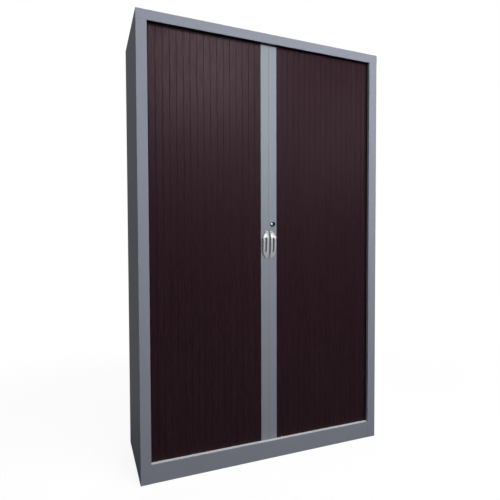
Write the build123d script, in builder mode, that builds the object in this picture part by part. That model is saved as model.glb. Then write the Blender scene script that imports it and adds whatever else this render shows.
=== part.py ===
"""Tall steel cupboard with two side-opening roll fronts, sizes in millimetres.

X runs to the right, Y to the back and Z up. The origin is on the floor, in the middle of the cupboard's
width and depth. Depths are counted back from the front face of the frame.
"""

import os

from build123d import *

# ---- carcass ----
overall_width = 1200.0
overall_depth = 430.0
overall_height = 1980.0
sheet = 1.0
bend = 1.5  # outside radius of a fold
stile_width = 45.0
header_height = 42.5
plinth_height = 82.0
hem_depth = 4.0  # how far the header's and the plinth's edges are folded back
reveal_depth = 16.0  # the stiles are folded back almost to the curtains
hem_return = 14.0
fit = 0.5  # play between parts that are put together
close_fit = 0.25
back_flange = 18.0
foot_flange = 22.0

# ---- curtains and their tracks ----
curtain_recess = 22.0  # from the frame's front face to the slats
profile_proud = 2.0  # the leading profiles stand out from the slats
slat_pitch = 30.0
slat_thickness = 8.0
slat_wall = 1.2
slat_gap = 0.4
slat_bevel = 0.8
slat_relief = 1.5  # how far each side leans in towards the back, for turning the corner
slats_per_side = 18
last_slat_turn = 7.8  # the last slat has already started round the corner, in degrees
route_radius = 28.0
route_from_back = 24.0
route_tail = 160.0  # how far the track turns in behind the inner back
groove_width = 13.5  # wide enough for a flat slat to turn the corner
groove_slack = 1.0  # from the groove's outer wall to the slats' face
track_wall = 2.5
track_base = 2.0
track_height = 16.0
threshold = 13.0  # plinth's top above the base sheet
slat_end_gap = 2.5
slat_foot_gap = 0.6

# ---- inner casing and shelves ----
liner_from_side = 50.0
liner_front = 40.0
liner_flange = 16.0
inner_back_depth = 385.0
platform_front = 48.0
shelf_count = 4
shelf_front = 50.0
shelf_lip = 25.0
shelf_side_gap = 2.0
slots_per_bay = 4
lowest_slot = 2  # a shelf on the first slot would leave too little room under it
slot_width = 2.6
slot_height = 14.0
slot_depths = (90.0, 340.0)
clip_thickness = 2.0
clip_reach = 12.0
clip_drop = 5.0  # how far the clip's two legs straddle the liner below the slot
clip_throat = 7.0

# ---- leading profiles ----
profile_width = 40.0
profile_depth = 14.0
profile_wall = 1.5
profile_edge = 1.0  # radius of its two front edges
profile_end_gap = 2.0
end_plug = 4.5  # how far the end pieces go into the profiles
seam_gap = 0.2
bead_radius = 1.7
bead_depth = 4.6  # from the slat's front face to the bead's middle
bead_reach = 3.6
socket_radius = 2.1
neck_thickness = 1.0
bead_sides = 6  # the socket clears the bead at every angle
socket_mouth = 3.0
socket_web = 3.5  # metal between the keyhole groove and the profile's hollow

# ---- handles ----
handle_top = 1079.0
handle_shoulder = 1045.0
handle_crest = 1036.0  # where it stands out furthest
handle_waist = 985.0
handle_bottom = 943.0
handle_from_seam = 6.0
handle_width = 26.5
handle_proud = 15.0
handle_thickness = 5.0
handle_tip = 7.0  # width of its upper end
handle_nose_radius = 90.0
handle_side_radius = 55.0
finger_slot_width = 9.0
finger_slot_bottom = 977.0

# ---- lock ----
lock_height = 1110.0
rose_radius = 10.3
rose_proud = 12.0
rose_slope = 3.6  # width and depth of the bevel round the plug
barrel_radius = 8.0
plug_radius = 6.0
plug_sunk = 0.4  # from the rose's face to the plug's
keyway_width = 1.6
keyway_height = 8.4
keyway_depth = 7.5
running_gap = 0.05
hook_depth = 28.3
hook_thickness = 2.5
hook_half_width = 5.0
hook_reach = 28.0
hook_lip = 5.5

# ---- worked out from the above ----
half_width = overall_width / 2
front = -overall_depth / 2
back = overall_depth / 2
opening_x = half_width - stile_width
header_bottom = overall_height - header_height
base_level = plinth_height - threshold
ceiling_level = header_bottom + track_height
curtain_y = front + curtain_recess
profile_y = curtain_y - profile_proud
profile_recess = curtain_recess - profile_proud
route_y = curtain_y - groove_slack + groove_width / 2
route_x = half_width - sheet - fit - track_wall - groove_width / 2
liner_x = half_width - liner_from_side
slat_bottom = base_level + track_base + slat_foot_gap
slat_top = ceiling_level - track_base - slat_end_gap
profile_bottom = plinth_height + profile_end_gap
profile_top = header_bottom - profile_end_gap
bay_height = (ceiling_level - plinth_height) / (shelf_count + 1)
slot_pitch = bay_height / slots_per_bay

os.makedirs("parts", exist_ok=True)


def save(piece, name):
    """Labels a finished sub-part and writes it."""
    piece.part.label = name
    export_step(piece.part, f"parts/{name}.step")


def folded(points, side=Side.RIGHT):
    """Section of a folded sheet, whose outside corners are the points and whose metal is on one side."""
    with BuildSketch() as section:
        with BuildLine():
            FilletPolyline(*points, radius=bend)
            offset(amount=sheet, side=side)
        make_face()
    return section.sketch


def route(reach):
    """Plan of the curtains' path, widened by reach to each side."""
    half = [
        (route_x - route_tail, back - route_from_back),
        (route_x, back - route_from_back),
        (route_x, route_y),
    ]
    other = [(-x, y) for x, y in reversed(half)]
    with BuildSketch() as plan:
        with BuildLine() as path:
            FilletPolyline(*half, *other, radius=route_radius)
        trace(path.wires(), line_width=2 * reach)
    return plan.sketch


# ================================ carcass ================================

side_section = folded(
    [
        (opening_x + hem_return, front + reveal_depth),
        (opening_x, front + reveal_depth),
        (opening_x, front),
        (half_width, front),
        (half_width, back),
        (half_width - back_flange, back),
    ],
    side=Side.LEFT,
)

for name, hand in (("left", -1), ("right", 1)):
    with BuildPart() as side_panel:
        with BuildSketch():
            add(side_section)
            if hand < 0:
                mirror(about=Plane.YZ, mode=Mode.REPLACE)
        extrude(amount=overall_height - sheet)
        # the header runs across in front of the side's top corner
        notch_depth = reveal_depth + sheet
        with Locations((hand * (half_width - stile_width), front, overall_height)):
            Box(
                2 * stile_width + 2 * sheet,
                2 * notch_depth,
                2 * header_height,
                mode=Mode.SUBTRACT,
            )
        # a corner tab closes the header's open end
        with Locations((hand * (half_width - sheet / 2), front + sheet, header_bottom)):
            Box(
                sheet,
                notch_depth,
                header_height - sheet,
                align=(Align.CENTER, Align.MIN, Align.MIN),
            )
    save(side_panel, f"{name}_side_panel")

with BuildPart() as top_panel:
    with BuildSketch(Plane.YZ.offset(-half_width)):
        add(
            folded(
                [
                    (back - 2 * sheet, ceiling_level),
                    (front + hem_depth, ceiling_level),
                    (front + hem_depth, header_bottom),
                    (front, header_bottom),
                    (front, overall_height),
                    (back, overall_height),
                    (back, overall_height - back_flange),
                ],
                side=Side.LEFT,
            )
        )
    extrude(amount=overall_width)
    # between the side panels everything behind the header's face is one sheet narrower at each end
    for hand in (-1, 1):
        with Locations((hand * half_width, front + sheet, overall_height - sheet)):
            Box(
                2 * sheet,
                overall_depth,
                2 * header_height,
                align=(Align.CENTER, Align.MIN, Align.MAX),
                mode=Mode.SUBTRACT,
            )
        with Locations((hand * half_width, back, overall_height - sheet)):
            Box(
                2 * back_flange + 2 * sheet,
                2 * (sheet + bend),
                2 * header_height,
                align=(Align.CENTER, Align.CENTER, Align.MAX),
                mode=Mode.SUBTRACT,
            )
save(top_panel, "top_panel")

platform_width = 2 * (liner_x - sheet)
platform_depth = inner_back_depth + sheet - platform_front

with BuildPart() as base_panel:
    with BuildSketch(Plane.YZ.offset(-half_width + sheet)):
        add(
            folded(
                [
                    (front + foot_flange, 0),
                    (front, 0),
                    (front, plinth_height),
                    (front + hem_depth, plinth_height),
                    (front + hem_depth, base_level),
                    (back, base_level),
                    (back, 0),
                    (back - foot_flange, 0),
                ]
            )
        )
    extrude(amount=overall_width - 2 * sheet)
    for hand in (-1, 1):
        # the plinth's face stops at the stiles, and the back flange at the sides' back flanges
        with Locations((hand * half_width, front, 0)):
            Box(
                2 * stile_width,
                2 * (reveal_depth + fit),
                4 * plinth_height,
                mode=Mode.SUBTRACT,
            )
        with Locations((hand * half_width, back, 0)):
            Box(
                2 * back_flange + 2 * sheet,
                2 * (sheet + bend),
                4 * plinth_height,
                mode=Mode.SUBTRACT,
            )
    # raised floor of the lowest compartment, pressed up out of the base
    platform_place = (0, front + platform_front, plinth_height)
    with Locations(platform_place):
        Box(
            platform_width,
            platform_depth,
            threshold + sheet,
            align=(Align.CENTER, Align.MIN, Align.MAX),
        )
    with Locations((0, front + platform_front + sheet, plinth_height - sheet)):
        Box(
            platform_width - 2 * sheet,
            platform_depth - 2 * sheet,
            2 * threshold,
            align=(Align.CENTER, Align.MIN, Align.MAX),
            mode=Mode.SUBTRACT,
        )
save(base_panel, "base_panel")

with BuildPart() as back_panel:
    with Locations((0, back - sheet, base_level)):
        Box(
            overall_width - 2 * (bend + fit),
            sheet,
            overall_height - bend - base_level,
            align=(Align.CENTER, Align.MAX, Align.MIN),
        )
save(back_panel, "back_panel")

# ================================ inner casing ================================

liner_section = folded(
    [
        (liner_x + liner_flange, front + liner_front),
        (liner_x - sheet, front + liner_front),
        (liner_x - sheet, front + inner_back_depth + sheet),
        (liner_x + liner_flange, front + inner_back_depth + sheet),
    ]
)

with BuildPart() as inner_back:
    with Locations((0, front + inner_back_depth, plinth_height)):
        Box(
            platform_width,
            sheet,
            ceiling_level - plinth_height,
            align=(Align.CENTER, Align.MAX, Align.MIN),
        )
save(inner_back, "inner_back")

# rows of slots near the front and the back of each liner take the shelf clips
slot_rows = [
    (front + depth, plinth_height + slot_pitch * step - shelf_lip - slot_height / 2)
    for depth in slot_depths
    for step in range(lowest_slot, slots_per_bay * (shelf_count + 1))
]

for name, hand in (("left", -1), ("right", 1)):
    with BuildPart() as liner:
        with BuildSketch(Plane.XY.offset(base_level)):
            add(liner_section)
            if hand < 0:
                mirror(about=Plane.YZ, mode=Mode.REPLACE)
        extrude(amount=ceiling_level - base_level)
        with BuildSketch(Plane.YZ.offset(hand * (liner_x - sheet / 2))):
            with Locations(*slot_rows):
                Rectangle(slot_width, slot_height)
        extrude(amount=sheet, both=True, mode=Mode.SUBTRACT)
    save(liner, f"{name}_liner")

shelf_width = platform_width - 2 * shelf_side_gap
shelf_depth = inner_back_depth - sheet - shelf_side_gap - shelf_front

for number in range(1, shelf_count + 1):
    shelf_top = plinth_height + number * bay_height
    with BuildPart() as shelf:
        with Locations((0, front + shelf_front, shelf_top)):
            Box(
                shelf_width,
                shelf_depth,
                shelf_lip,
                align=(Align.CENTER, Align.MIN, Align.MAX),
            )
        fillet(shelf.edges().group_by(Axis.Z)[-1].sort_by(Axis.Y)[0], radius=bend)
        offset(amount=-sheet, openings=shelf.faces().sort_by(Axis.Z)[0])
        # the front lip is turned in underneath
        with Locations((0, front + shelf_front, shelf_top - shelf_lip)):
            Box(
                shelf_width,
                hem_return,
                sheet,
                align=(Align.CENTER, Align.MIN, Align.MIN),
            )
    save(shelf, f"shelf_{number}")

with BuildPart() as shelf_clips:
    for hand in (-1, 1):
        for depth in slot_depths:
            for number in range(1, shelf_count + 1):
                ledge = plinth_height + number * bay_height - shelf_lip
                clip_plane = Plane.XZ.offset(-(front + depth + clip_thickness / 2))
                face_x = liner_x - sheet
                tail_x = liner_x + close_fit + clip_thickness
                rest = ledge - slot_height
                with BuildSketch(clip_plane):
                    with BuildLine():
                        Polyline(
                            (face_x - clip_reach, ledge),
                            (face_x, ledge),
                            (face_x, rest + clip_throat),
                            (tail_x, rest + clip_throat),
                            (tail_x, rest - clip_drop),
                            (liner_x + close_fit, rest - clip_drop),
                            (liner_x + close_fit, rest),
                            (face_x, rest),
                            (face_x, rest - clip_drop),
                            (face_x - clip_thickness, rest - clip_drop),
                            (face_x - clip_reach, ledge - clip_thickness),
                            close=True,
                        )
                    make_face()
                    if hand < 0:
                        mirror(about=Plane.YZ, mode=Mode.REPLACE)
                extrude(amount=clip_thickness)
save(shelf_clips, "shelf_clips")

# ================================ tracks ================================

# the ledge in front of the groove runs between the side panels
ledge_front = front + hem_depth + close_fit
ledge_back = route_y - groove_width / 2 - track_wall / 2
ledge_width = 2 * (opening_x - fit)

for name, floor_z, up in (("bottom", base_level, 1), ("top", ceiling_level, -1)):
    with BuildPart() as track:
        track_plane = Plane.XY.offset(floor_z)
        with BuildSketch(track_plane):
            add(route(groove_width / 2 + track_wall))
        height = threshold if up > 0 else track_height
        extrude(amount=up * height)
        with BuildSketch(track_plane.offset(up * track_base)):
            add(route(groove_width / 2))
        extrude(amount=up * track_height, mode=Mode.SUBTRACT)
        # ledge between the frame's folded edge and the groove, with a leg along its front
        for rise, depth in (
            (height - track_base, ledge_back - ledge_front),
            (bend, track_wall),
        ):
            with BuildSketch(track_plane.offset(up * rise)):
                with Locations((0, ledge_front)):
                    Rectangle(ledge_width, depth, align=(Align.CENTER, Align.MIN))
            extrude(amount=up * (height - rise))
    save(track, f"{name}_track")

# ================================ curtains ================================

# plan of one slat of the right-hand curtain: u across from its inner edge, v back from its face
face_left = slat_gap / 2
face_right = slat_pitch - slat_gap / 2
socket_x = slat_pitch - bead_reach
hollow_left = face_left + 2 * slat_wall
hollow_right = socket_x - socket_radius - slat_wall

with BuildSketch() as slat_section:
    with BuildLine():
        Polyline(
            (face_left + slat_bevel, 0),
            (face_right - slat_bevel, 0),
            (face_right, slat_bevel),
            (face_right - slat_relief, slat_thickness),
            (face_left + slat_relief, slat_thickness),
            (face_left, slat_bevel),
            close=True,
        )
    make_face()
    # socket along the outer edge, open just wide enough for the next slat's neck
    with Locations((socket_x, bead_depth)):
        RegularPolygon(socket_radius, bead_sides, mode=Mode.SUBTRACT)
        Rectangle(
            slat_pitch,
            socket_mouth,
            align=(Align.MIN, Align.CENTER),
            mode=Mode.SUBTRACT,
        )
    # hollow
    with Locations((hollow_left, slat_thickness / 2)):
        Rectangle(
            hollow_right - hollow_left,
            slat_thickness - 2 * slat_wall,
            align=(Align.MIN, Align.CENTER),
            mode=Mode.SUBTRACT,
        )
    # bead on its neck, held in the socket of the slat before
    with Locations((-bead_reach, bead_depth)):
        Rectangle(
            bead_reach + hollow_left - slat_wall / 2,
            neck_thickness,
            align=(Align.MIN, Align.CENTER),
        )
        RegularPolygon(bead_radius, bead_sides)

# the same plan from the bead's middle, which the slat turns about
slat_plan = slat_section.sketch.moved(Location((bead_reach, -bead_depth)))

for name, hand in (("left", -1), ("right", 1)):
    for number in range(1, slats_per_side + 1):
        bead_x = profile_width - bead_reach + (number - 1) * slat_pitch
        turn = last_slat_turn if number == slats_per_side else 0
        with BuildPart() as slat:
            with BuildSketch(Plane.XY.offset(slat_bottom)):
                with Locations((bead_x, curtain_y + bead_depth)):
                    add(slat_plan, rotation=turn)
                if hand < 0:
                    mirror(about=Plane.YZ, mode=Mode.REPLACE)
            extrude(amount=slat_top - slat_bottom)
        save(slat, f"{name}_slat_{number:02d}")

# ================================ leading profiles ================================

keyhole_depth = profile_proud + bead_depth
arm_depth = keyhole_depth + bead_depth
profile_hollow_right = profile_width - bead_reach - socket_radius - socket_web

with BuildSketch() as profile_section:
    with BuildLine():
        seam = seam_gap / 2
        arm_left = profile_hollow_right + profile_wall
        Polyline(
            (seam, 0),
            (profile_width, 0),
            (profile_width, arm_depth),
            (arm_left, arm_depth),
            (arm_left, profile_depth),
            (seam, profile_depth),
            close=True,
        )
    make_face()
    fillet(profile_section.vertices().group_by(Axis.Y)[0], radius=profile_edge)
    with Locations((seam + profile_wall, profile_wall)):
        Rectangle(
            profile_hollow_right - seam - profile_wall,
            profile_depth - 2 * profile_wall,
            align=(Align.MIN, Align.MIN),
            mode=Mode.SUBTRACT,
        )
    # keyhole groove for the first slat's bead
    with Locations((profile_width - bead_reach, keyhole_depth)):
        RegularPolygon(socket_radius, bead_sides, mode=Mode.SUBTRACT)
        Rectangle(
            profile_wall + bead_reach,
            socket_mouth,
            align=(Align.MIN, Align.CENTER),
            mode=Mode.SUBTRACT,
        )

lock_x = profile_width / 2
hook_y = front + hook_depth

for name, hand in (("left", -1), ("right", 1)):
    with BuildPart() as leading_profile:
        with BuildSketch(Plane.XY.offset(profile_bottom)):
            with Locations((0, profile_y)):
                add(profile_section.sketch)
            if hand < 0:
                mirror(about=Plane.YZ, mode=Mode.REPLACE)
        extrude(amount=profile_top - profile_bottom)
        # slot in the meeting edge that the lock's hook swings through
        with Locations((0, hook_y + hook_thickness / 2, lock_height - hook_half_width - seam_gap)):
            Box(
                4 * profile_wall,
                hook_thickness + 2 * fit,
                hook_reach + 3 * hook_half_width,
                align=(Align.CENTER, Align.CENTER, Align.MIN),
                mode=Mode.SUBTRACT,
            )
        if hand > 0:
            with Locations(Plane.XZ.offset(-profile_y) * Location((lock_x, lock_height, 0))):
                Hole(radius=barrel_radius, depth=3 * profile_wall)
    save(leading_profile, f"{name}_leading_profile")

    # plastic end pieces: a plug in the hollow and a tongue that runs in the track
    with BuildPart() as end_glides:
        plug_width = profile_hollow_right - seam_gap / 2 - profile_wall - 2 * fit
        plug_x = (profile_hollow_right + seam_gap / 2 + profile_wall) / 2
        for end, tongue_end, up in (
            (profile_bottom, slat_bottom, 1),
            (profile_top, slat_top, -1),
        ):
            with BuildSketch(Plane.XY.offset(end)):
                with Locations((hand * plug_x, profile_y + profile_depth / 2)):
                    Rectangle(plug_width, profile_depth - 2 * (profile_wall + fit))
            extrude(amount=up * end_plug)
            with BuildSketch(Plane.XY.offset(end)):
                with Locations((hand * plug_x, curtain_y)):
                    Rectangle(
                        plug_width,
                        slat_thickness,
                        align=(Align.CENTER, Align.MIN),
                    )
            extrude(amount=tongue_end - end)
    save(end_glides, f"{name}_end_glides")

# ================================ handles ================================

handle_inner = handle_from_seam
handle_outer = handle_from_seam + handle_width
handle_face = profile_y - handle_proud

for name, hand in (("left", -1), ("right", 1)):
    with BuildPart() as handle:
        # half of a long oval with a blunt nose, flat along the seam
        with BuildSketch(Plane.XZ.offset(-profile_y)):
            with BuildLine():
                tip_corner = (handle_inner + handle_tip, handle_top)
                Polyline(tip_corner, (handle_inner, handle_top), (handle_inner, handle_bottom))
                RadiusArc(
                    (handle_inner, handle_bottom),
                    (handle_outer, handle_waist),
                    -handle_side_radius,
                )
                Line((handle_outer, handle_waist), (handle_outer, handle_shoulder))
                RadiusArc(
                    (handle_outer, handle_shoulder),
                    tip_corner,
                    -handle_nose_radius,
                )
            make_face()
        extrude(amount=handle_proud)
        # bowed out from the profile, highest near the top
        with BuildSketch(Plane.YZ.offset(handle_inner)):
            with BuildLine():
                TangentArc(
                    (handle_face, handle_crest),
                    (profile_y, handle_top),
                    tangent=(0, 1),
                )
                Line((profile_y, handle_top), (profile_y, handle_bottom))
                TangentArc(
                    (handle_face, handle_crest),
                    (profile_y, handle_bottom),
                    tangent=(0, -1),
                )
            make_face()
        extrude(amount=handle_width, mode=Mode.INTERSECT)
        # clear of the profile between its two feet
        with BuildSketch(Plane.YZ.offset(handle_inner - sheet)):
            with BuildLine():
                under_face = handle_face + handle_thickness
                under_bottom = handle_bottom + 3 * handle_thickness
                TangentArc(
                    (under_face, handle_crest),
                    (profile_y, under_bottom),
                    tangent=(0, -1),
                )
                Polyline(
                    (profile_y, under_bottom),
                    (profile_y, handle_shoulder - 2 * sheet),
                    (under_face, handle_crest),
                )
            make_face()
        extrude(amount=handle_width + 2 * sheet, mode=Mode.SUBTRACT)
        # finger slot
        with BuildSketch(Plane.XZ.offset(-profile_y)):
            slot_x = (handle_inner + handle_outer) / 2
            slot_middle = (handle_shoulder + finger_slot_bottom) / 2
            slot_length = handle_shoulder - finger_slot_bottom
            with Locations((slot_x, slot_middle)):
                SlotOverall(slot_length, finger_slot_width, rotation=90)
        extrude(amount=2 * handle_proud, mode=Mode.SUBTRACT)
        if hand < 0:
            mirror(about=Plane.YZ, mode=Mode.REPLACE)
    save(handle, f"{name}_handle")

# ================================ lock ================================

lock_plane = Plane.XZ.offset(-profile_y)
hook_behind = hook_depth - profile_recess  # from the profile's face to the hook

with BuildPart() as lock_housing:
    with BuildSketch(lock_plane):
        with Locations((lock_x, lock_height)):
            Circle(rose_radius)
    extrude(amount=rose_proud)
    chamfer(lock_housing.edges().group_by(Axis.Y)[0], length=rose_slope)
    with BuildSketch(lock_plane):
        with Locations((lock_x, lock_height)):
            Circle(barrel_radius - running_gap)
    extrude(amount=-(hook_behind - 2 * fit))
    with BuildSketch(lock_plane.offset(2 * rose_proud)):
        with Locations((lock_x, lock_height)):
            Circle(plug_radius + running_gap)
    extrude(amount=-4 * hook_depth, mode=Mode.SUBTRACT)
save(lock_housing, "lock_housing")

with BuildPart() as lock_plug:
    plug_face = lock_plane.offset(rose_proud - plug_sunk)
    with BuildSketch(plug_face):
        with Locations((lock_x, lock_height)):
            Circle(plug_radius)
    extrude(amount=-(hook_behind + rose_proud - plug_sunk))
    # square tail that carries the hook
    with BuildSketch(lock_plane.offset(-hook_behind)):
        with Locations((lock_x, lock_height)):
            Rectangle(hook_half_width, hook_half_width)
    extrude(amount=-hook_thickness)
    with BuildSketch(plug_face):
        with Locations((lock_x, lock_height)):
            Rectangle(keyway_width, keyway_height)
    extrude(amount=-keyway_depth, mode=Mode.SUBTRACT)
save(lock_plug, "lock_plug")

with BuildPart() as lock_hook:
    with BuildSketch(lock_plane.offset(-hook_behind)):
        with BuildLine():
            tip = lock_height + hook_reach
            lip_top = tip - hook_half_width
            left = lock_x - hook_half_width - hook_lip
            Polyline(
                (lock_x + hook_half_width, lock_height),
                (lock_x + hook_half_width, tip),
                (left, tip),
                (left, lip_top),
                (lock_x - hook_half_width, lip_top),
                (lock_x - hook_half_width, lock_height),
            )
            RadiusArc(
                (lock_x - hook_half_width, lock_height),
                (lock_x + hook_half_width, lock_height),
                -hook_half_width,
            )
        make_face()
        with Locations((lock_x, lock_height)):
            Rectangle(hook_half_width, hook_half_width, mode=Mode.SUBTRACT)
    extrude(amount=-hook_thickness)
save(lock_hook, "lock_hook")
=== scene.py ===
"""Finishes and studio for a tall steel roll-front cupboard, laid out as an add-on.

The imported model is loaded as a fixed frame. Each operator finishes or builds one group of pieces.
"""

import math
from typing import NamedTuple

import bmesh
import bpy
from bpy.props import FloatProperty, FloatVectorProperty, PointerProperty
from mathutils import Matrix, Vector


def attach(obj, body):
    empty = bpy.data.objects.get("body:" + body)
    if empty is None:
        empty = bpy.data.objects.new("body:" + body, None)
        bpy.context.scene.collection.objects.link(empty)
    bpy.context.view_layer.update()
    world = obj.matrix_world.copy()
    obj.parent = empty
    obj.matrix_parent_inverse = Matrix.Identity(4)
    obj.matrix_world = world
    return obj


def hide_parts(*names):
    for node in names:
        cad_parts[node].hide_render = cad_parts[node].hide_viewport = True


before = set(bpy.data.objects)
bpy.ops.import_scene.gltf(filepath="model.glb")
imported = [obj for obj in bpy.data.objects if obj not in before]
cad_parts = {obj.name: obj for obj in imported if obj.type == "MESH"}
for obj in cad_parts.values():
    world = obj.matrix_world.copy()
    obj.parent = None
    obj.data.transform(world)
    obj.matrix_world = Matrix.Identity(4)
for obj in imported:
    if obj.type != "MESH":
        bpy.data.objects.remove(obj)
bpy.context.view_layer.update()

bl_info = {
    "name": "Roll-Front Cupboard",
    "version": (1, 0, 0),
    "blender": (4, 5, 0),
    "location": "3D View > Sidebar > Roll front",
    "description": "Finishes a steel cupboard with two slatted roll fronts and sets up its studio",
    "category": "Object",
}

MM = 0.001
SIDES = ("left", "right")
WHITE = (1.0, 1.0, 1.0, 1.0)
MIRRORED_BACKDROP = 0.6  # brightness of the backdrop in mirror images
LENS_SHIFT = (-0.0119, 0.0090)
WELD = 0.01 * MM  # vertices nearer than this are one
FLAT = math.radians(1)  # faces that meet at less are one face
SHARP = math.radians(35)  # edges that are rounded turn by more


class Lamp(NamedTuple):
    """A rectangular lamp: which studio value is its power, its size, and where it hangs and points."""

    name: str
    power: str
    size: tuple
    place: tuple
    target: tuple
    lights: bool = True
    mirrored: bool = True


LAMPS = (
    Lamp("key", "key_power", (1.6, 1.6), (0.8, -4.2, 3.7), (0.1, 0.0, 1.0)),
    Lamp("side key", "side_power", (1.2, 1.6), (3.3, -4.0, 2.8), (0.2, 0.0, 1.0)),
    Lamp("wash", "wash_power", (3.0, 0.6), (0.6, -2.4, 2.1), (0.1, 0.0, 1.5), mirrored=False),
    Lamp("top", "top_power", (2.4, 1.2), (0.2, -1.4, 3.3), (0.1, -0.2, 1.0), mirrored=False),
    Lamp("left card", "card_power", (1.1, 2.0), (-3.0, -1.6, 1.3), (0.0, -0.2, 1.15), lights=False),
    Lamp("back", "back_power", (2.4, 1.6), (0.3, 3.6, 2.6), (0.0, 0.2, 0.9), mirrored=False),
    Lamp("fill", "fill_power", (1.0, 1.2), (-2.9, -1.4, 2.2), (-0.6, 0.0, 1.3), mirrored=False),
)


def linear(code):
    """Turns an sRGB hex colour such as "8b8f9b" into linear red, green and blue."""
    values = [int(code[i : i + 2], 16) / 255 for i in (0, 2, 4)]
    return tuple(v / 12.92 if v <= 0.04045 else ((v + 0.055) / 1.055) ** 2.4 for v in values)


def rgba(colour, factor=1.0):
    """A colour property's value with an alpha, made lighter or darker by a factor."""
    return tuple(min(1.0, v * factor) for v in colour) + (1.0,)


def add(tree, kind, place, inputs=None, **settings):
    """Adds a node at a place in the tree, sets its properties, and fills or links its inputs."""
    node = tree.nodes.new(kind)
    node.location = place
    for name, value in settings.items():
        setattr(node, name, value)
    for name, value in (inputs or {}).items():
        if isinstance(value, bpy.types.NodeSocket):
            tree.links.new(value, node.inputs[name])
        else:
            node.inputs[name].default_value = value
    return node


def new_material(name):
    """An empty node material and its tree."""
    material = bpy.data.materials.new(name)
    material.use_nodes = True
    material.node_tree.nodes.clear()
    return material, material.node_tree


def two_tone(tree, place, factor, colour, low, high):
    """Mixes a darker and a lighter version of one colour by a pattern."""
    return add(
        tree,
        "ShaderNodeMix",
        place,
        {"Factor": factor, "A": rgba(colour, low), "B": rgba(colour, high)},
        data_type="RGBA",
    )


def finish_surface(tree, inputs):
    """Ends a material's tree with a principled surface and the output."""
    shader = add(tree, "ShaderNodeBsdfPrincipled", (-250, 0), inputs)
    add(tree, "ShaderNodeOutputMaterial", (50, 0), {"Surface": shader.outputs["BSDF"]})


def dress(names, material):
    """Gives CAD nodes a material in place of the one they were packed with."""
    for name in names:
        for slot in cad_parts[name].material_slots:
            slot.material = material


# ------------------------------------------------------------------ sizes and colours


class RollFrontColours(bpy.types.PropertyGroup):
    """Colours of the cupboard's finishes."""

    epoxy: FloatVectorProperty(
        name="Powder coat",
        description="Grey epoxy powder coat of the carcass and the shelves",
        subtype="COLOR",
        min=0,
        max=1,
        default=linear("8b8f9b"),
    )
    lacquer: FloatVectorProperty(
        name="Profile lacquer",
        description="Aluminium-grey lacquer of the two leading profiles",
        subtype="COLOR",
        min=0,
        max=1,
        default=linear("888e98"),
    )
    wenge: FloatVectorProperty(
        name="Wenge",
        description="Dark brown of the curtains' moulded slats",
        subtype="COLOR",
        min=0,
        max=1,
        default=linear("301e25"),
    )
    wenge_pore: FloatVectorProperty(
        name="Wenge pores",
        description="Darker brown of the slats' embossed pores",
        subtype="COLOR",
        min=0,
        max=1,
        default=linear("1f1318"),
    )
    chrome: FloatVectorProperty(
        name="Chrome",
        description="Chromium plate of the handles and the lock's rose",
        subtype="COLOR",
        min=0,
        max=1,
        default=linear("dcdedf"),
    )
    zinc: FloatVectorProperty(
        name="Zinc",
        description="Zinc plate of the shelf clips and the lock's hook",
        subtype="COLOR",
        min=0,
        max=1,
        default=linear("b4b8bd"),
    )
    lock_core: FloatVectorProperty(
        name="Lock plug",
        description="Black of the lock's plug",
        subtype="COLOR",
        min=0,
        max=1,
        default=linear("0e0e10"),
    )
    # pale acetal of the bottom track, made near white as painted light: it stands in for the light from
    # above on the ledge's top
    pale_track_with_painted_light: FloatVectorProperty(
        name="Bottom track",
        description="Pale acetal of the bottom track",
        subtype="COLOR",
        min=0,
        max=1,
        default=linear("f6f6fa"),
    )
    # black acetal of the top track and the end glides; on the top track the black is also painted shade,
    # standing in for the shade under the header
    black_acetal_and_painted_shade: FloatVectorProperty(
        name="Top track",
        description="Black acetal of the top track and the end glides",
        subtype="COLOR",
        min=0,
        max=1,
        default=linear("121214"),
    )


class RollFrontGrain(bpy.types.PropertyGroup):
    """Real sizes of the textures."""

    orange_peel: FloatProperty(
        name="Orange peel",
        description="Distance between the humps of the powder coat",
        unit="LENGTH",
        default=1.6 * MM,
    )
    draw_line: FloatProperty(
        name="Draw lines",
        description="Distance between the fine lines that drawing leaves along a profile",
        unit="LENGTH",
        default=0.9 * MM,
    )
    pore_width: FloatProperty(
        name="Pore width",
        description="Width of the pores embossed in the slats",
        unit="LENGTH",
        default=0.8 * MM,
    )
    pore_length: FloatProperty(
        name="Pore length",
        description="Length of the pores embossed in the slats",
        unit="LENGTH",
        default=26 * MM,
    )
    mould_grain: FloatProperty(
        name="Mould grain",
        description="Distance between the pits of the tracks' moulded surface",
        unit="LENGTH",
        default=0.7 * MM,
    )
    edge_round: FloatProperty(
        name="Handle edge",
        description="Radius of the handles' cast edges",
        unit="LENGTH",
        default=2.2 * MM,
    )


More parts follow.
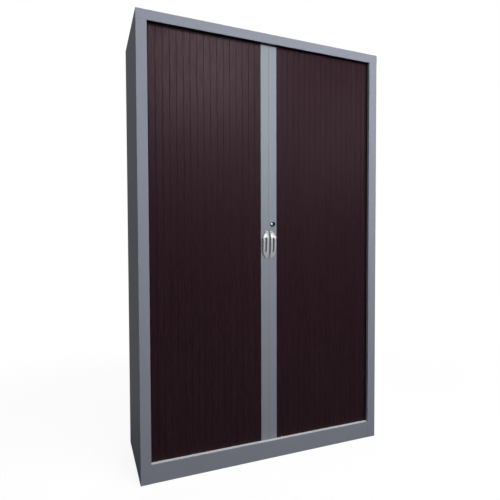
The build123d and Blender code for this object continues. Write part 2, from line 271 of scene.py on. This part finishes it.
class RollFrontStudio(bpy.types.PropertyGroup):
    """Camera, lamps and floor."""

    camera_place: FloatVectorProperty(
        name="Camera",
        description="Where the camera stands",
        subtype="TRANSLATION",
        unit="LENGTH",
        default=(-0.8033, -1.9959, 1.0282),
    )
    camera_yaw: FloatProperty(
        name="Camera yaw",
        description="Turn of the view from straight back towards the right",
        subtype="ANGLE",
        default=0.3887,
    )
    camera_pitch: FloatProperty(
        name="Camera pitch",
        description="Tilt of the view above the horizon",
        subtype="ANGLE",
        default=-0.0313,
    )
    camera_roll: FloatProperty(
        name="Camera roll",
        description="Turn of the picture about the line of sight",
        subtype="ANGLE",
        default=-0.0029,
    )
    lens: FloatProperty(
        name="Lens",
        description="Focal length in millimetres on a 36 mm sensor",
        default=30.1,
    )
    key_power: FloatProperty(
        name="Key lamp",
        description="Power of the large lamp high in front, in watts",
        default=55.0,
    )
    wash_power: FloatProperty(
        name="Wash lamp",
        description="Power of the broad lamp that softens the shadows, in watts",
        default=50.0,
    )
    top_power: FloatProperty(
        name="Top lamp",
        description="Power of the lamp overhead that lights the ledges, in watts",
        default=8.0,
    )
    card_power: FloatProperty(
        name="Left card",
        description="Power of the card on the left that only mirror images show, in watts",
        default=22.0,
    )
    back_power: FloatProperty(
        name="Back lamp",
        description="Power of the lamp behind the cupboard, in watts",
        default=60.0,
    )
    side_power: FloatProperty(
        name="Side key lamp",
        description="Power of the lamp in front on the right, in watts",
        default=9.0,
    )
    fill_power: FloatProperty(
        name="Fill lamp",
        description="Power of the lamp high on the left, in watts",
        default=6.3,
    )
    ambient: FloatProperty(
        name="Ambient",
        description="Brightness of the even light from all round",
        default=0.05,
    )
    floor_half: FloatProperty(
        name="Floor",
        description="Half the side of the floor",
        unit="LENGTH",
        default=60.0,
    )
    floor_colour: FloatVectorProperty(
        name="Floor colour",
        description="Grey of the studio floor before it is lifted to white",
        subtype="COLOR",
        min=0,
        max=1,
        default=linear("707070"),
    )


# ------------------------------------------------------------------ materials


def powder_coated_steel(colours, grain):
    """Epoxy powder coat on steel sheet: satin and faintly orange-peeled."""
    material, tree = new_material("powder coated steel")
    where = add(tree, "ShaderNodeTexCoord", (-1200, 0)).outputs["Object"]
    # the coat flows out in broad humps and never lies quite flat
    peel = add(
        tree,
        "ShaderNodeTexNoise",
        (-900, -250),
        {"Vector": where, "Scale": 1 / (2 * grain.orange_peel), "Detail": 2.0, "Roughness": 0.4},
    )
    # a thinner or thicker coat over tens of centimetres
    cloud = add(
        tree,
        "ShaderNodeTexNoise",
        (-900, 100),
        {"Vector": where, "Scale": 1 / (250 * MM), "Detail": 3.0},
    )
    tint = two_tone(tree, (-600, 150), cloud.outputs["Fac"], colours.epoxy, 0.96, 1.04)
    rough = add(
        tree,
        "ShaderNodeMapRange",
        (-600, -50),
        {"Value": peel.outputs["Fac"], "To Min": 0.6, "To Max": 0.7},
    )
    bump = add(
        tree,
        "ShaderNodeBump",
        (-600, -300),
        {"Height": peel.outputs["Fac"], "Strength": 0.12, "Distance": 0.05 * MM},
    )
    finish_surface(
        tree,
        {
            "Base Color": tint.outputs["Result"],
            "Roughness": rough.outputs["Result"],
            "Specular IOR Level": 0.15,
            "Normal": bump.outputs["Normal"],
        },
    )
    return material


def lacquered_aluminium(colours, grain):
    """Drawn aluminium profile under satin lacquer, with fine lines along its length."""
    material, tree = new_material("lacquered drawn aluminium")
    where = add(tree, "ShaderNodeTexCoord", (-1400, 0)).outputs["Object"]
    # lines run the whole length, so the pattern is stretched 400 times upwards
    stretch = add(
        tree,
        "ShaderNodeMapping",
        (-1200, 0),
        {"Vector": where, "Scale": (1.0, 1.0, 0.0025)},
    )
    lines = add(
        tree,
        "ShaderNodeTexNoise",
        (-950, 0),
        {"Vector": stretch.outputs["Vector"], "Scale": 1 / (2 * grain.draw_line), "Detail": 4.0},
    )
    tint = two_tone(tree, (-600, 150), lines.outputs["Fac"], colours.lacquer, 0.93, 1.05)
    rough = add(
        tree,
        "ShaderNodeMapRange",
        (-600, -50),
        {"Value": lines.outputs["Fac"], "To Min": 0.42, "To Max": 0.52},
    )
    bump = add(
        tree,
        "ShaderNodeBump",
        (-600, -300),
        {"Height": lines.outputs["Fac"], "Strength": 0.1, "Distance": 0.03 * MM},
    )
    finish_surface(
        tree,
        {
            "Base Color": tint.outputs["Result"],
            "Roughness": rough.outputs["Result"],
            "Specular IOR Level": 0.5,
            "Normal": bump.outputs["Normal"],
        },
    )
    return material


def wenge_slat_plastic(colours, grain):
    """Extruded PVC slat with an embossed wenge grain: deep brown, satin, pores along its length."""
    material, tree = new_material("wenge embossed pvc")
    where = add(tree, "ShaderNodeTexCoord", (-1500, 0)).outputs["Object"]
    long_pores = add(
        tree,
        "ShaderNodeMapping",
        (-1300, 100),
        {"Vector": where, "Scale": (1.0, 1.0, grain.pore_width / grain.pore_length)},
    )
    pores = add(
        tree,
        "ShaderNodeTexNoise",
        (-1050, 100),
        {
            "Vector": long_pores.outputs["Vector"],
            "Scale": 1 / (2 * grain.pore_width),
            "Detail": 3.0,
            "Roughness": 0.6,
        },
    )
    # only the deepest part of the pattern is a pore
    pore_mask = add(
        tree,
        "ShaderNodeMapRange",
        (-800, 100),
        {"Value": pores.outputs["Fac"], "From Min": 0.36, "From Max": 0.56},
    )
    # long streaks, a little lighter or darker
    batch = add(
        tree,
        "ShaderNodeMapping",
        (-1300, -250),
        {"Vector": where, "Scale": (1.0, 1.0, 0.02)},
    )
    streak = add(
        tree,
        "ShaderNodeTexNoise",
        (-1050, -250),
        {"Vector": batch.outputs["Vector"], "Scale": 1 / (45 * MM), "Detail": 1.0},
    )
    ground = two_tone(tree, (-800, -150), streak.outputs["Fac"], colours.wenge, 0.88, 1.14)
    tint = add(
        tree,
        "ShaderNodeMix",
        (-550, 100),
        {
            "Factor": pore_mask.outputs["Result"],
            "A": rgba(colours.wenge_pore),
            "B": ground.outputs["Result"],
        },
        data_type="RGBA",
    )
    rough = add(
        tree,
        "ShaderNodeMapRange",
        (-550, -100),
        {"Value": pore_mask.outputs["Result"], "To Min": 0.42, "To Max": 0.28},
    )
    bump = add(
        tree,
        "ShaderNodeBump",
        (-550, -350),
        {"Height": pore_mask.outputs["Result"], "Strength": 0.25, "Distance": 0.06 * MM},
    )
    finish_surface(
        tree,
        {
            "Base Color": tint.outputs["Result"],
            "Roughness": rough.outputs["Result"],
            "IOR": 1.54,
            "Specular IOR Level": 0.16,
            "Specular Tint": (1.0, 0.74, 0.83, 1.0),
            "Normal": bump.outputs["Normal"],
        },
    )
    return material


def moulded_acetal(name, colour, grain):
    """Moulded acetal: smooth and waxy, with the fine pits of a spark-eroded mould."""
    material, tree = new_material(name)
    where = add(tree, "ShaderNodeTexCoord", (-1200, 0)).outputs["Object"]
    pits = add(
        tree,
        "ShaderNodeTexVoronoi",
        (-900, -200),
        {"Vector": where, "Scale": 1 / grain.mould_grain},
    )
    cloud = add(
        tree,
        "ShaderNodeTexNoise",
        (-900, 150),
        {"Vector": where, "Scale": 1 / (80 * MM), "Detail": 2.0},
    )
    tint = two_tone(tree, (-600, 150), cloud.outputs["Fac"], colour, 0.94, 1.04)
    rough = add(
        tree,
        "ShaderNodeMapRange",
        (-600, -50),
        {"Value": pits.outputs["Distance"], "To Min": 0.42, "To Max": 0.52},
    )
    bump = add(
        tree,
        "ShaderNodeBump",
        (-600, -300),
        {"Height": pits.outputs["Distance"], "Strength": 0.15, "Distance": 0.03 * MM},
    )
    finish_surface(
        tree,
        {
            "Base Color": tint.outputs["Result"],
            "Roughness": rough.outputs["Result"],
            "IOR": 1.48,
            "Normal": bump.outputs["Normal"],
        },
    )
    return material


def plated_metal(name, colour, metallic, smooth, worn, ripple):
    """Plated casting or pressing: mirror or satin, with the faint ripple of the metal under it."""
    material, tree = new_material(name)
    where = add(tree, "ShaderNodeTexCoord", (-1200, 0)).outputs["Object"]
    wave = add(
        tree,
        "ShaderNodeTexNoise",
        (-900, -250),
        {"Vector": where, "Scale": 1 / ripple, "Detail": 1.0},
    )
    # finger marks and fine scuffs dull the plate in patches
    scuff = add(
        tree,
        "ShaderNodeTexNoise",
        (-900, 50),
        {"Vector": where, "Scale": 1 / (9 * MM), "Detail": 5.0, "Roughness": 0.65},
    )
    rough = add(
        tree,
        "ShaderNodeMapRange",
        (-600, 0),
        {
            "Value": scuff.outputs["Fac"],
            "From Min": 0.35,
            "From Max": 0.7,
            "To Min": smooth,
            "To Max": worn,
        },
    )
    tint = two_tone(tree, (-600, 250), scuff.outputs["Fac"], colour, 1.03, 0.93)
    bump = add(
        tree,
        "ShaderNodeBump",
        (-600, -300),
        {"Height": wave.outputs["Fac"], "Strength": 0.2, "Distance": 0.08 * MM},
    )
    finish_surface(
        tree,
        {
            "Base Color": tint.outputs["Result"],
            "Metallic": metallic,
            "Roughness": rough.outputs["Result"],
            "Normal": bump.outputs["Normal"],
        },
    )
    return material


def seen_as_backdrop(tree, behind):
    """How far a surface is the white backdrop: all of it to the camera, in mirrors only what is behind."""
    path = add(tree, "ShaderNodeLightPath", (-900, 500))
    mirrored = add(
        tree,
        "ShaderNodeMath",
        (-700, 400),
        {0: path.outputs["Is Glossy Ray"], 1: path.outputs["Is Transmission Ray"]},
        operation="MAXIMUM",
    )
    masked = add(
        tree,
        "ShaderNodeMath",
        (-500, 400),
        {0: mirrored.outputs["Value"], 1: behind},
        operation="MULTIPLY",
    )
    seen = add(
        tree,
        "ShaderNodeMath",
        (-300, 500),
        {0: path.outputs["Is Camera Ray"], 1: masked.outputs["Value"]},
        operation="MAXIMUM",
    )
    return seen.outputs["Value"]


def studio_floor(studio):
    """Painted studio floor: grey to the lamps, lifted to white for the camera, and its shadows stay."""
    material, tree = new_material("studio floor")
    where = add(tree, "ShaderNodeTexCoord", (-900, 0)).outputs["Object"]
    rolled = add(
        tree,
        "ShaderNodeTexNoise",
        (-700, 0),
        {"Vector": where, "Scale": 1 / (30 * MM), "Detail": 2.0},
    )
    tint = two_tone(tree, (-500, 0), rolled.outputs["Fac"], studio.floor_colour, 0.98, 1.02)
    paint = add(
        tree,
        "ShaderNodeBsdfDiffuse",
        (-250, 0),
        {"Color": tint.outputs["Result"]},
    )
    place = add(tree, "ShaderNodeSeparateXYZ", (-1300, 200), {"Vector": where})
    behind = add(
        tree,
        "ShaderNodeMapRange",
        (-1100, 400),
        {
            "Value": place.outputs["Y"],
            "From Min": -0.2,
            "From Max": 0.8,
            "To Max": MIRRORED_BACKDROP,
        },
    )
    seen = seen_as_backdrop(tree, behind.outputs["Result"])
    # the lift grows with distance, so the floor meets the backdrop without a line
    away = add(
        tree,
        "ShaderNodeVectorMath",
        (-1100, -200),
        {0: where},
        operation="LENGTH",
    )
    level = add(
        tree,
        "ShaderNodeMapRange",
        (-500, 200),
        {
            "Value": away.outputs["Value"],
            "From Min": 1.5,
            "From Max": 5.0,
            "To Min": 0.9,
            "To Max": 1.0,
        },
    )
    lift = add(
        tree,
        "ShaderNodeMath",
        (-100, 300),
        {0: seen, 1: level.outputs["Result"]},
        operation="MULTIPLY",
    )
    glow = add(
        tree,
        "ShaderNodeEmission",
        (100, 200),
        {"Color": WHITE, "Strength": lift.outputs["Value"]},
    )
    both = add(
        tree,
        "ShaderNodeAddShader",
        (300, 0),
        {0: paint.outputs["BSDF"], 1: glow.outputs["Emission"]},
    )
    add(tree, "ShaderNodeOutputMaterial", (500, 0), {"Surface": both.outputs["Shader"]})
    return material


# ------------------------------------------------------------------ operators


class ROLLFRONT_OT_carcass(bpy.types.Operator):
    """Finish the carcass, its inner casing and the shelves in powder coat"""

    bl_idname = "rollfront.carcass"
    bl_label = "Carcass and shelves"

    def execute(self, context):
        colours, grain = context.scene.roll_front_colours, context.scene.roll_front_grain
        steel = powder_coated_steel(colours, grain)
        names = [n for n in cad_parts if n.endswith(("_panel", "_liner", "inner_back"))]
        names += [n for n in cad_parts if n.startswith("shelf_") and n != "shelf_clips"]
        dress(names, steel)
        return {"FINISHED"}


class ROLLFRONT_OT_tracks(bpy.types.Operator):
    """Finish the two tracks and the glides that run in them"""

    bl_idname = "rollfront.tracks"
    bl_label = "Tracks and glides"

    def execute(self, context):
        colours, grain = context.scene.roll_front_colours, context.scene.roll_front_grain
        # the bottom track's near-white colour is partly painted light for the lit top of the ledge
        dress(["bottom_track"], moulded_acetal("pale acetal", colours.pale_track_with_painted_light, grain))
        # the top track's black is partly painted shade for the underside of the header
        dark = moulded_acetal("black acetal", colours.black_acetal_and_painted_shade, grain)
        dress(["top_track"] + [f"{side}_end_glides" for side in SIDES], dark)
        return {"FINISHED"}


class ROLLFRONT_OT_curtains(bpy.types.Operator):
    """Finish the slats of both roll fronts"""

    bl_idname = "rollfront.curtains"
    bl_label = "Curtains"

    def execute(self, context):
        colours, grain = context.scene.roll_front_colours, context.scene.roll_front_grain
        wenge = wenge_slat_plastic(colours, grain)
        dress([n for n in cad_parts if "_slat_" in n], wenge)
        return {"FINISHED"}


class ROLLFRONT_OT_profiles(bpy.types.Operator):
    """Finish the two leading profiles"""

    bl_idname = "rollfront.profiles"
    bl_label = "Leading profiles"

    def execute(self, context):
        colours, grain = context.scene.roll_front_colours, context.scene.roll_front_grain
        lacquer = lacquered_aluminium(colours, grain)
        dress([f"{side}_leading_profile" for side in SIDES], lacquer)
        return {"FINISHED"}


class ROLLFRONT_OT_handles(bpy.types.Operator):
    """Cast and plate the two bow handles"""

    bl_idname = "rollfront.handles"
    bl_label = "Bow handles"

    def execute(self, context):
        colours, grain = context.scene.roll_front_colours, context.scene.roll_front_grain
        chrome = plated_metal("satin chromium plate", colours.chrome, 0.4, 0.3, 0.4, 14 * MM)
        for side in SIDES:
            casting = smooth_copy(f"{side}_handle", grain.edge_round, chrome)
            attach(casting, f"{side}_door")
            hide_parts(f"{side}_handle")
        return {"FINISHED"}


class ROLLFRONT_OT_lock(bpy.types.Operator):
    """Plate the lock's rose and hook and the shelf clips, and finish the lock's plug in black acetal"""

    bl_idname = "rollfront.lock"
    bl_label = "Lock and clips"

    def execute(self, context):
        colours, grain = context.scene.roll_front_colours, context.scene.roll_front_grain
        chrome = plated_metal("polished chromium plate", colours.chrome, 1.0, 0.08, 0.18, 9 * MM)
        core = moulded_acetal("black lock core", colours.lock_core, grain)
        zinc = plated_metal("passivated zinc plate", colours.zinc, 1.0, 0.32, 0.5, 6 * MM)
        dress(["lock_housing"], chrome)
        dress(["lock_plug"], core)
        dress(["lock_hook", "shelf_clips"], zinc)
        return {"FINISHED"}


def smooth_copy(node, radius, material):
    """A piece with a CAD node's shape, its edges rounded and its curves shaded smooth."""
    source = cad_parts[node]
    mesh = source.data.copy()
    piece = bpy.data.objects.new(f"{node}_casting", mesh)
    bpy.context.scene.collection.objects.link(piece)
    form = bmesh.new()
    form.from_mesh(mesh)
    bmesh.ops.remove_doubles(form, verts=form.verts, dist=WELD)
    bmesh.ops.dissolve_limit(
        form,
        angle_limit=FLAT,
        use_dissolve_boundaries=False,
        verts=form.verts,
        edges=form.edges,
    )
    corners = [
        edge
        for edge in form.edges
        if len(edge.link_faces) == 2 and edge.calc_face_angle(0) > SHARP
    ]
    bmesh.ops.bevel(
        form,
        geom=corners,
        offset=radius,
        offset_type="OFFSET",
        affect="EDGES",
        segments=4,
        profile=0.5,
        material=-1,
        clamp_overlap=True,
    )
    for face in form.faces:
        face.smooth = True
    form.to_mesh(mesh)
    form.free()
    mesh.materials.clear()
    mesh.materials.append(material)
    if "custom_normal" in mesh.attributes:
        mesh.attributes.remove(mesh.attributes["custom_normal"])
    return piece


class ROLLFRONT_OT_studio(bpy.types.Operator):
    """Lay the floor, hang the lamps and set up the camera"""

    bl_idname = "rollfront.studio"
    bl_label = "Studio"

    def execute(self, context):
        studio = context.scene.roll_front_studio
        self.lay_floor(context, studio)
        self.light(context, studio)
        self.place_camera(context, studio)
        context.scene.view_settings.view_transform = "Standard"
        return {"FINISHED"}

    def lay_floor(self, context, studio):
        mesh = bpy.data.meshes.new("floor")
        form = bmesh.new()
        bmesh.ops.create_grid(form, x_segments=1, y_segments=1, size=studio.floor_half)
        form.to_mesh(mesh)
        form.free()
        mesh.materials.append(studio_floor(studio))
        floor = bpy.data.objects.new("floor", mesh)
        context.scene.collection.objects.link(floor)

    def light(self, context, studio):
        world = bpy.data.worlds.new("studio")
        context.scene.world = world
        world.use_nodes = True
        tree = world.node_tree
        tree.nodes.clear()
        way = add(tree, "ShaderNodeTexCoord", (-1500, 300)).outputs["Generated"]
        split = add(tree, "ShaderNodeSeparateXYZ", (-1300, 300), {"Vector": way})
        behind = add(
            tree,
            "ShaderNodeMapRange",
            (-1100, 300),
            {
                "Value": split.outputs["Y"],
                "From Min": -0.1,
                "From Max": 0.3,
                "To Max": MIRRORED_BACKDROP,
            },
        )
        seen = seen_as_backdrop(tree, behind.outputs["Result"])
        strength = add(
            tree,
            "ShaderNodeMapRange",
            (0, 0),
            {"Value": seen, "To Min": studio.ambient, "To Max": 1.0},
        )
        sky = add(
            tree,
            "ShaderNodeBackground",
            (200, 0),
            {"Color": WHITE, "Strength": strength.outputs["Result"]},
        )
        add(tree, "ShaderNodeOutputWorld", (400, 0), {"Surface": sky.outputs["Background"]})
        for lamp in LAMPS:
            data = bpy.data.lights.new(lamp.name, "AREA")
            data.shape = "RECTANGLE"
            data.size, data.size_y = lamp.size
            data.energy = getattr(studio, lamp.power)
            piece = bpy.data.objects.new(lamp.name, data)
            piece.location = lamp.place
            piece.visible_diffuse = lamp.lights
            piece.visible_glossy = lamp.mirrored
            aim = Vector(lamp.target) - Vector(lamp.place)
            piece.rotation_euler = aim.to_track_quat("-Z", "Y").to_euler()
            context.scene.collection.objects.link(piece)

    def place_camera(self, context, studio):
        data = bpy.data.cameras.new("camera")
        data.sensor_width = 36.0
        data.lens = studio.lens
        data.shift_x, data.shift_y = LENS_SHIFT
        data.clip_end = 200.0
        camera = bpy.data.objects.new("camera", data)
        yaw, pitch, roll = studio.camera_yaw, studio.camera_pitch, studio.camera_roll
        look = Vector(
            (math.sin(yaw) * math.cos(pitch), math.cos(yaw) * math.cos(pitch), math.sin(pitch))
        )
        level = Vector((math.cos(yaw), -math.sin(yaw), 0.0))
        right = level * math.cos(roll) + level.cross(look) * math.sin(roll)
        up = right.cross(look)
        turn = Matrix((right, up, -look)).transposed()
        camera.matrix_world = Matrix.Translation(studio.camera_place) @ turn.to_4x4()
        context.scene.collection.objects.link(camera)
        context.scene.camera = camera


class ROLLFRONT_PT_panel(bpy.types.Panel):
    """Operators and values of the roll-front cupboard"""

    bl_label = "Roll-Front Cupboard"
    bl_idname = "ROLLFRONT_PT_panel"
    bl_space_type = "VIEW_3D"
    bl_region_type = "UI"
    bl_category = "Roll front"

    def draw(self, context):
        for operator in OPERATORS:
            self.layout.operator(operator.bl_idname)
        for name in ("roll_front_colours", "roll_front_grain", "roll_front_studio"):
            group = getattr(context.scene, name)
            box = self.layout.box()
            for field in group.__annotations__:
                box.prop(group, field)


OPERATORS = (
    ROLLFRONT_OT_carcass,
    ROLLFRONT_OT_tracks,
    ROLLFRONT_OT_curtains,
    ROLLFRONT_OT_profiles,
    ROLLFRONT_OT_handles,
    ROLLFRONT_OT_lock,
    ROLLFRONT_OT_studio,
)
CLASSES = (RollFrontColours, RollFrontGrain, RollFrontStudio, *OPERATORS, ROLLFRONT_PT_panel)


def register():
    for cls in CLASSES:
        bpy.utils.register_class(cls)
    bpy.types.Scene.roll_front_colours = PointerProperty(type=RollFrontColours)
    bpy.types.Scene.roll_front_grain = PointerProperty(type=RollFrontGrain)
    bpy.types.Scene.roll_front_studio = PointerProperty(type=RollFrontStudio)


def unregister():
    del bpy.types.Scene.roll_front_studio
    del bpy.types.Scene.roll_front_grain
    del bpy.types.Scene.roll_front_colours
    for cls in reversed(CLASSES):
        bpy.utils.unregister_class(cls)


def main():
    register()
    bpy.ops.rollfront.carcass()
    bpy.ops.rollfront.tracks()
    bpy.ops.rollfront.curtains()
    bpy.ops.rollfront.profiles()
    bpy.ops.rollfront.handles()
    bpy.ops.rollfront.lock()
    bpy.ops.rollfront.studio()


if __name__ == "__main__":
    main()
